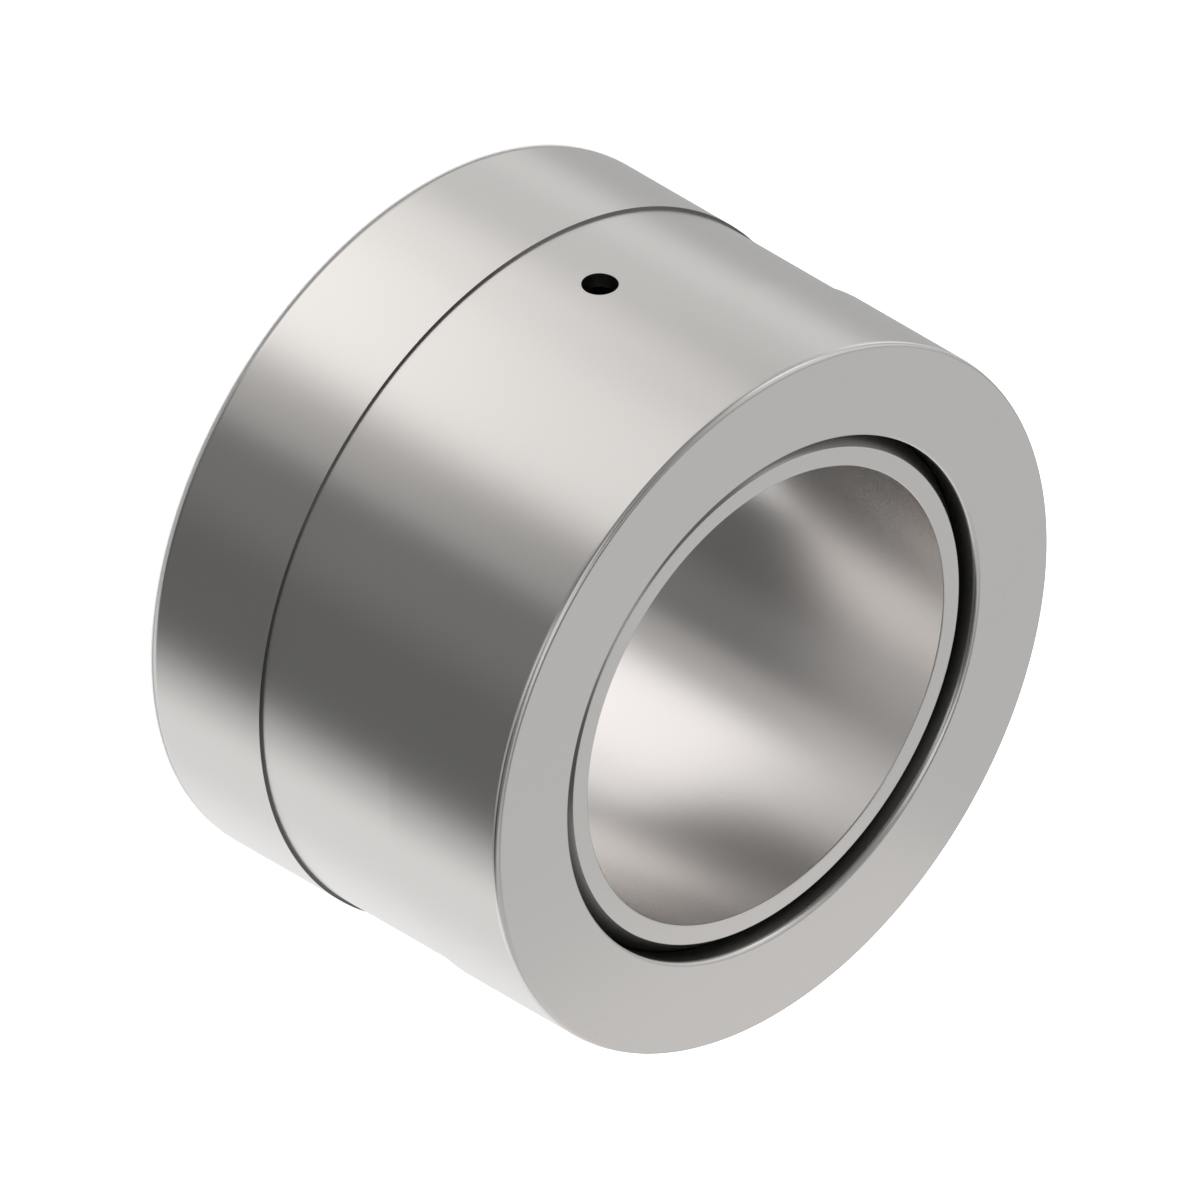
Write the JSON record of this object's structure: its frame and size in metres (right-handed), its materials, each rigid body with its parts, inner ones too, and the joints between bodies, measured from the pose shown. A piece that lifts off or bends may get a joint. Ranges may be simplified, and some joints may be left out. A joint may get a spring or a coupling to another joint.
{
  "type": "self-aligning bushing",
  "caption": "Steel bushing whose inner ring is a bored ball, held in the spherical seat of a closed outer ring, so it tilts to line up with its shaft.",
  "frame": {"origin": "centre of the ball, on the bore's axis, midway between the end faces", "axes": "+Z along the bore, up from the end it stands on; +X out through the oil hole"},
  "size_m": [0.062, 0.062, 0.039],
  "materials": {
    "outer_ring_steel": "fine ground, bright satin",
    "inner_ring_steel": "fine ground, bright satin"
  },
  "bodies": {
    "outer": {"outer_ring": "outer_ring_steel"},
    "inner": {"inner_ring": "inner_ring_steel"}
  },
  "joints": [
    {"name": "tilt", "type": "hinge", "parent": "outer", "child": "inner", "pos_m": [0, 0, 0], "axis": [0, 1, 0], "range_deg": [-8, 8]}
  ]
}
